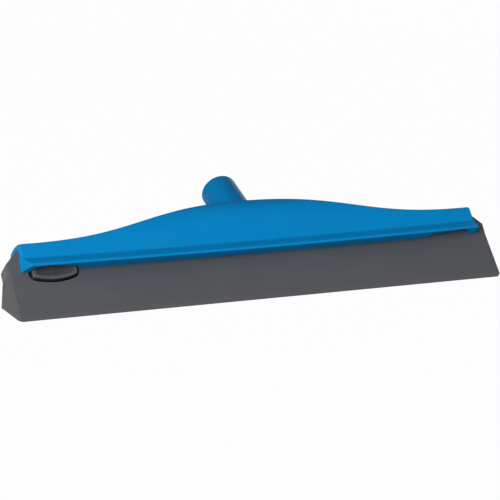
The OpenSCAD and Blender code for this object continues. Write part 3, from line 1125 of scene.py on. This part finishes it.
@dataclass
class Cassette:
    """Grey cassette: carrier, blade, rear wall and the two end walls."""

    half_length: float = 200.0
    carrier_y: float = 7.0
    carrier_z: Point2 = (40.3, 60.3)
    end_slope: Point2 = (11.0, 11.5)
    carrier_wall: float = 3.2
    rib: Triple = (9.0, 52.7, 55.5)
    rib_half_length: float = 188.7
    core_half_length: float = 189.0
    drain: Point2 = (30.0, 4.0)
    drain_pitch: float = 50.0
    band: Point2 = (-11.2, 4.6)
    tip: Point2 = (-10.5, 0.0)
    heel: Point2 = (-9.059, 1.078)
    blade_t: float = 3.0
    rear_root_y: float = 11.5
    rear_tip: Point2 = (26.0, 27.3)
    rear_toe: Point2 = (24.559, 26.222)
    end_feet: tuple[Point2, Point2] = ((-8.917, 1.661), (24.03, 26.507))
    stop_y: float = 10.5
    stop_len: float = 10.7
    end_t: float = 3.0
    corner: float = 2.5
    edge_round: float = 0.35
    plate_round: float = 0.15
    end_round: Point2 = (2.6, 1.0)
    rail_round: Point2 = (2.0, 0.7)
    end_steps: int = 6
    housing_half: float = 21.65
    housing_back: float = 3.9
    housing_low: float = 26.1
    button_gap: float = 1.8
    lip_room: float = 3.05
    lip_front: float = 0.3
    pocket_floor: float = 2.1
    shy: float = 0.06
    over: float = 1.0
    bite: float = 0.1
    button: LockButton = field(default_factory=LockButton)

    def inner_y(self, z: float) -> float:
        """Returns the inside of the blade at a height."""
        low, high = self.band[1], self.carrier_z[0]
        part = (high - z) / (high - low)
        return -self.carrier_y + self.blade_t + part * (self.band[0] + self.carrier_y)

    def button_space(self) -> list[Workpiece]:
        """Returns the two solids that are taken out where the button slides."""
        lip = self.button.flange_front_y
        front = self.button.plug("mouth", self.button_gap, self.band[0] - self.over, lip)
        back = self.button.plug("room", self.lip_room, lip - self.lip_front, self.pocket_floor)
        return [front, back]

    def bar(self, name: str, outline: Sequence[Point2], ends: Point2, width: float) -> Workpiece:
        """Extrudes a Y-Z outline along X with its edges broken.

        Args:
            name: The piece's name.
            outline: The corners in Y and Z.
            ends: X of its two ends.
            width: The bevel's reach.

        Returns:
            The solid.
        """
        piece = Workpiece(name)
        piece.prism([(ends[0], y, z) for y, z in outline], (ends[1] - ends[0], 0, 0))
        if width > 0:
            piece.round(piece.sharp(15.0), width, 2)
        return piece

    def block(self, name: str, low: Sequence[float], high: Sequence[float]) -> Workpiece:
        """Returns a plain tool block between two corners."""
        outline = [(low[1], low[2]), (high[1], low[2]), (high[1], high[2]), (low[1], high[2])]
        return self.bar(name, outline, (low[0], high[0]), 0.0)

    def stop(self) -> Workpiece:
        """Returns the shoulder at the carrier's left end that stops it against the head."""
        low, high = self.carrier_z
        reach, fall = self.end_slope
        inner = -self.half_length + self.stop_len
        outer, foot, slope = -self.half_length + self.shy, low + self.shy, high - fall - self.shy
        rise = fall * self.stop_len / reach
        outline = [(outer, foot), (outer, slope), (inner, slope + rise), (inner, foot)]
        piece = Workpiece("stop")
        piece.prism([(x, 0.0, z) for x, z in outline], (0, self.stop_y, 0))
        piece.round(piece.sharp(15.0), self.edge_round, 3)
        return piece

    def carrier(self, material: bpy.types.Material) -> None:
        """Builds the hollow rail with its ribs, drain slots and button housing."""
        low, high = self.carrier_z
        reach, fall = self.end_slope
        half = self.half_length
        core = self.carrier_y - self.carrier_wall
        roof = high - self.carrier_wall
        piece = Workpiece("carrier_rail")
        outline = mirrored([(half, low), (half, high - fall), (half - reach, high)])
        piece.prism([(x, -self.carrier_y, z) for x, z in outline], (0, 2 * self.carrier_y, 0))

        def front_end(edge: BMEdge) -> bool:
            """Tests for the upright and sloping edges at the ends of the carrier's front."""
            first, second = (vert.co for vert in edge.verts)
            at_end = min(abs(first.x), abs(second.x)) > half - reach - SLACK and first.x * second.x > 0
            return at_end and max(first.y, second.y) < 0 and abs(first.z - second.z) > SLACK

        for side, width in zip((-1, 1), self.rail_round):
            ends = [edge for edge in piece.edges(front_end) if edge.verts[0].co.x * side > 0]
            piece.round(ends, width, 4)
        piece.round(piece.sharp(35.0), self.edge_round, 3)
        piece.cut(self.stop(), Cut.JOIN)
        rib_y, rib_low, rib_high = self.rib
        ribs = [(-rib_y, rib_low), (rib_y, rib_low), (rib_y, rib_high), (-rib_y, rib_high)]
        piece.cut(self.bar("ribs", ribs, (-self.rib_half_length, self.rib_half_length), 0.0), Cut.JOIN)
        core_x = self.core_half_length
        piece.cut(self.block("core", (-core_x, -core, low - self.over), (core_x, core, roof)), Cut.REMOVE)
        x, y = self.drain[0] / 2, self.drain[1] / 2
        for step in (-1, 0, 1):
            middle = step * self.drain_pitch
            drain = self.block(
                "drain", (middle - x, -y, roof - self.over), (middle + x, y, high + self.over))
            piece.cut(drain, Cut.REMOVE)
        left, right = self.button.x - self.housing_half, self.button.x + self.housing_half
        deep = core + self.bite
        plug = self.block("plug", (left, -deep, low - 2 * self.bite), (right, deep, roof + self.bite))
        piece.cut(plug, Cut.JOIN)
        box = [
            (self.inner_y(low), low), (self.inner_y(self.housing_low), self.housing_low),
            (self.housing_back, self.housing_low), (self.housing_back, low)]
        piece.cut(self.bar("housing", box, (left, right), self.edge_round), Cut.JOIN)
        for tool in self.button_space():
            piece.cut(tool, Cut.REMOVE)
        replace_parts(piece.finish(Body.CASSETTE, Slot.CARRIER, material), "carrier")

    def blade(self, material: bpy.types.Material) -> None:
        """Builds the scraping blade with rounded ends, cut corners and a bevelled tip."""
        top = self.carrier_z[0]
        outline = [
            (-self.carrier_y, top), self.band, self.tip, self.heel,
            (self.inner_y(self.band[1]), self.band[1]), (self.inner_y(top), top)]
        piece = self.bar("scraping_blade", outline, (-self.half_length, self.half_length), 0.0)
        fall = math.atan2(-self.carrier_y - self.band[0], top - self.band[1])
        for side, radius in zip((-1, 1), self.end_round):
            self._trim(piece, (side * self.half_length, 0, self.corner), (side, 0, -1))
            centre = Vector((side * (self.half_length - radius), -self.carrier_y, top))
            facing = Vector((0, -math.cos(fall), math.sin(fall)))
            centre -= facing * radius
            for step in range(1, self.end_steps):
                turn = math.pi / 2 * step / self.end_steps
                normal = facing * math.cos(turn) + Vector((side, 0, 0)) * math.sin(turn)
                self._trim(piece, centre + normal * radius, normal)
        for tool in self.button_space():
            piece.cut(tool, Cut.REMOVE)
        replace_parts(piece.finish(Body.CASSETTE, Slot.BLADE, material), "front_blade")

    def _trim(self, piece: Workpiece, place: Sequence[float], normal: Sequence[float]) -> None:
        """Cuts away what lies beyond a plane and closes the cut.

        Args:
            piece: What is cut.
            place: A point on the plane.
            normal: The side that goes.
        """
        cut = bmesh.ops.bisect_plane(
            piece.bm, geom=[*piece.bm.verts, *piece.bm.edges, *piece.bm.faces], dist=WELD,
            plane_co=place, plane_no=normal, clear_outer=True)
        rim = [part for part in cut["geom_cut"] if isinstance(part, BMEdge)]
        bmesh.ops.edgeloop_fill(piece.bm, edges=rim)

    def rear(self, material: bpy.types.Material) -> None:
        """Builds the splayed rear wall."""
        top = self.carrier_z[0]
        inside = self.carrier_y - self.blade_t
        outline = [
            (self.rear_root_y, top), self.rear_tip, self.rear_toe,
            (inside, top - self.blade_t), (inside, top)]
        piece = self.bar("rear_catch_wall", outline, (-self.half_length, self.half_length), self.edge_round)
        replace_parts(piece.finish(Body.CASSETTE, Slot.BLADE, material), "rear_wall")

    def ends(self, material: bpy.types.Material) -> None:
        """Builds the two end walls."""
        top = self.carrier_z[0]
        inside = self.carrier_y - self.blade_t
        outline = [
            (self.inner_y(top), top), (self.inner_y(self.band[1]), self.band[1]), *self.end_feet,
            (inside, top - self.blade_t), (inside, top)]
        inner, outer = self.half_length - self.end_t, self.half_length
        for name, places in (("left_end_wall", (-outer, -inner)), ("right_end_wall", (inner, outer))):
            piece = self.bar(f"{name}_plate", outline, places, self.plate_round)
            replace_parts(piece.finish(Body.CASSETTE, Slot.END, material), name)


@dataclass
class ReturnSpring:
    """Bowed steel leaf behind the button."""

    x: float = -165.0
    z: float = 37.0
    crown_y: float = -2.25
    bow: float = 28.34
    thickness: float = 0.6
    length: float = 28.0
    tip_room: float = 0.2
    width: float = 7.0
    edge_round: float = 0.12
    steps: int = 28
    floor_y: float = 2.1
    keep: float = 0.14

    def build(self, material: bpy.types.Material) -> None:
        """Builds the leaf."""
        piece = Workpiece("spring_leaf")
        low, high = self.z - self.width / 2, self.z + self.width / 2
        centre = self.crown_y + self.bow
        turn = math.asin((self.length / 2 - self.tip_room) / self.bow)
        radii = (self.bow, self.bow - self.thickness)
        corners = [(radii[0], low), (radii[0], high), (radii[1], high), (radii[1], low)]
        verts = [
            piece.bm.verts.new((self.x - radius * math.sin(turn), centre - radius * math.cos(turn), z))
            for radius, z in corners]
        face = piece.bm.faces.new(verts)
        bmesh.ops.spin(
            piece.bm, geom=[face], cent=(self.x, centre, 0), axis=(0, 0, 1), angle=2 * turn,
            steps=self.steps)
        bmesh.ops.remove_doubles(piece.bm, verts=piece.bm.verts, dist=WELD)
        bmesh.ops.recalc_face_normals(piece.bm, faces=piece.bm.faces)
        piece.round(piece.sharp(40.0), self.edge_round, 2)
        leaf = piece.finish(Body.CASSETTE, Slot.SPRING, material)
        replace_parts(leaf, "return_spring")
        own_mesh(leaf)


@dataclass
class Studio:
    """Camera at the photograph's angle, pale floor and plain soft light."""

    camera_at: Triple = (-0.6881, -1.6468, 0.4164)
    aim_at: Triple = (-0.00174, -0.01905, 0.03070)
    roll: float = 0.154
    lens: float = 167.75
    sensor: float = 36.0
    clip: float = 100.0
    floor_half: float = 8.0
    floor_grey: float = 0.5
    floor_glow: float = 0.975
    key_from: Triple = (-2.63, -2.82, 1.33)
    key_size: float = 2.6
    key_power: float = 190.0
    fill_from: Triple = (2.78, 2.3, 0.6)
    fill_size: float = 1.2
    fill_power: float = 42.0
    ambient: float = 0.15

    def camera(self) -> None:
        """Makes the camera."""
        data = bpy.data.cameras.new("camera")
        data.lens = self.lens
        data.sensor_width = self.sensor
        data.clip_end = self.clip
        thing = bpy.data.objects.new("camera", data)
        way = Vector(self.aim_at) - Vector(self.camera_at)
        turn = way.to_track_quat("-Z", "Y").to_matrix().to_4x4()
        spin = Matrix.Rotation(math.radians(self.roll), 4, "Z")
        thing.matrix_world = Matrix.Translation(self.camera_at) @ turn @ spin
        link(thing)
        bpy.context.scene.camera = thing

    def lamp(self, name: str, place: Sequence[float], size: float, power: float) -> None:
        """Makes one soft round lamp that faces the part.

        Args:
            name: The lamp's name.
            place: Where it stands.
            size: Its width.
            power: Its power.
        """
        data = bpy.data.lights.new(name, "AREA")
        data.shape = "DISK"
        data.size = size
        data.energy = power
        thing = bpy.data.objects.new(name, data)
        turn = (-Vector(place)).to_track_quat("-Z", "Y").to_matrix().to_4x4()
        thing.matrix_world = Matrix.Translation(place) @ turn
        link(thing)

    def lights(self) -> None:
        """Makes the soft key light, the fill behind the part and the even world light."""
        self.lamp("key", self.key_from, self.key_size, self.key_power)
        self.lamp("fill", self.fill_from, self.fill_size, self.fill_power)
        world = bpy.data.worlds.new("studio")
        world.use_nodes = True
        shade = world.node_tree.nodes["Background"]
        shade.inputs["Color"].default_value = (1.0, 1.0, 1.0, 1.0)
        shade.inputs["Strength"].default_value = self.ambient
        bpy.context.scene.world = world

    def floor(self) -> None:
        """Makes the pale floor, which shows white and keeps a faint shadow."""
        bm = bmesh.new()
        bmesh.ops.create_grid(bm, x_segments=1, y_segments=1, size=self.floor_half)
        data = bpy.data.meshes.new("floor")
        bm.to_mesh(data)
        bm.free()
        tree = ShaderTree("pale_floor")
        path = tree.node("ShaderNodeLightPath", {}, {})
        camera, glossy, through = (
            tree.out(path, f"Is {ray} Ray") for ray in ("Camera", "Glossy", "Transmission"))
        seen = camera.most(glossy).most(through)
        grey = self.floor_grey
        matt = tree.node("ShaderNodeBsdfDiffuse", {}, {"Color": (grey, grey, grey, 1.0)})
        glow = tree.node("ShaderNodeEmission", {}, {"Color": (1.0, 1.0, 1.0, 1.0), "Strength": 1.0})
        mixed = tree.node("ShaderNodeMixShader", {}, {
            0: seen * self.floor_glow, 1: tree.out(matt, "BSDF"), 2: tree.out(glow, "Emission")})
        data.materials.append(tree.surface(tree.out(mixed, "Shader")))
        thing = bpy.data.objects.new("floor", data)
        link(thing)

    def build(self) -> None:
        """Sets the whole studio up."""
        self.camera()
        self.lights()
        self.floor()
        bpy.context.scene.view_settings.view_transform = "Standard"


THUMB = LockButton()
# The blue's last setting darkens the crest's top and the socket with painted shade.
BLUE = MouldedFinish(
    "moulded_blue", colour=(0.0005, 0.230, 0.556), shade=(0.0005, 0.211, 0.516), roughness=0.54,
    specular=0.10, top_shade_share=0.26)
CARRIER_GREY = MouldedFinish(
    "moulded_grey", colour=(0.095, 0.101, 0.104), shade=(0.086, 0.091, 0.095), roughness=0.5,
    specular=0.2)
# The third colour of each rubber finish is painted shade under the head's flange.
BLADE_GREY = RubberFinish(
    "rubber_grey", colour=(0.082, 0.085, 0.094), bloom=(0.104, 0.106, 0.115),
    painted_shade=(0.045, 0.056, 0.067))
# The end walls take less painted shade.
END_GREY = RubberFinish(
    "rubber_end_grey", colour=(0.098, 0.105, 0.104), bloom=(0.118, 0.125, 0.122),
    painted_shade=(0.075, 0.081, 0.081), painted_shade_share=0.2)
# The button's third colour is a painted highlight on its rim.
BUTTON_DARK = GlossFinish(
    "gloss_dark", colour=(0.052, 0.054, 0.059), haze=(0.075, 0.078, 0.085), rim_highlight=(0.080, 0.081, 0.088),
    middle=(THUMB.x, THUMB.z), half=(THUMB.width / 2, THUMB.height / 2), sag=THUMB.sag)
SPRING_STEEL = SteelFinish("spring_strip", colour=(0.62, 0.62, 0.61), dark=(0.42, 0.42, 0.43))


def main() -> None:
    """Builds the studio and every piece."""
    logging.basicConfig(level=logging.INFO, format="%(message)s")
    Studio().build()
    HeadMoulding().build(BLUE.material())
    rubber = BLADE_GREY.material()
    cassette = Cassette(button=THUMB)
    cassette.carrier(CARRIER_GREY.material())
    cassette.blade(rubber)
    cassette.rear(rubber)
    cassette.ends(END_GREY.material())
    THUMB.build(BUTTON_DARK.material())
    ReturnSpring().build(SPRING_STEEL.material())


if __name__ == "__main__":
    main()
